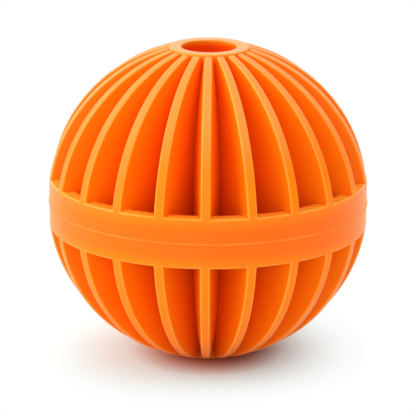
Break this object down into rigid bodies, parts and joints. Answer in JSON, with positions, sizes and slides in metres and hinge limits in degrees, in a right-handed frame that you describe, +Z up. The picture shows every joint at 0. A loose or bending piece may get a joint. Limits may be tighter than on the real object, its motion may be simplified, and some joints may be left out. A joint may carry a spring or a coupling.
{
  "type": "anti-tangle laundry ball",
  "caption": "Finned plastic laundry ball of two hollow halves, with a band round the equator and a bored collar at each pole, that keeps clothes apart in the wash.",
  "frame": {"origin": "centre of the lower collar's flat face, on which the ball stands", "axes": "+Z up through both bores; -Y faces the front, along the middle of one fin"},
  "size_m": [0.07, 0.07, 0.0686],
  "materials": {
    "upper_half_plastic": "satin moulded polyethylene, orange",
    "lower_half_plastic": "satin moulded polyethylene, orange"
  },
  "bodies": {
    "root": {"upper_half": "upper_half_plastic", "lower_half": "lower_half_plastic"}
  },
  "joints": []
}
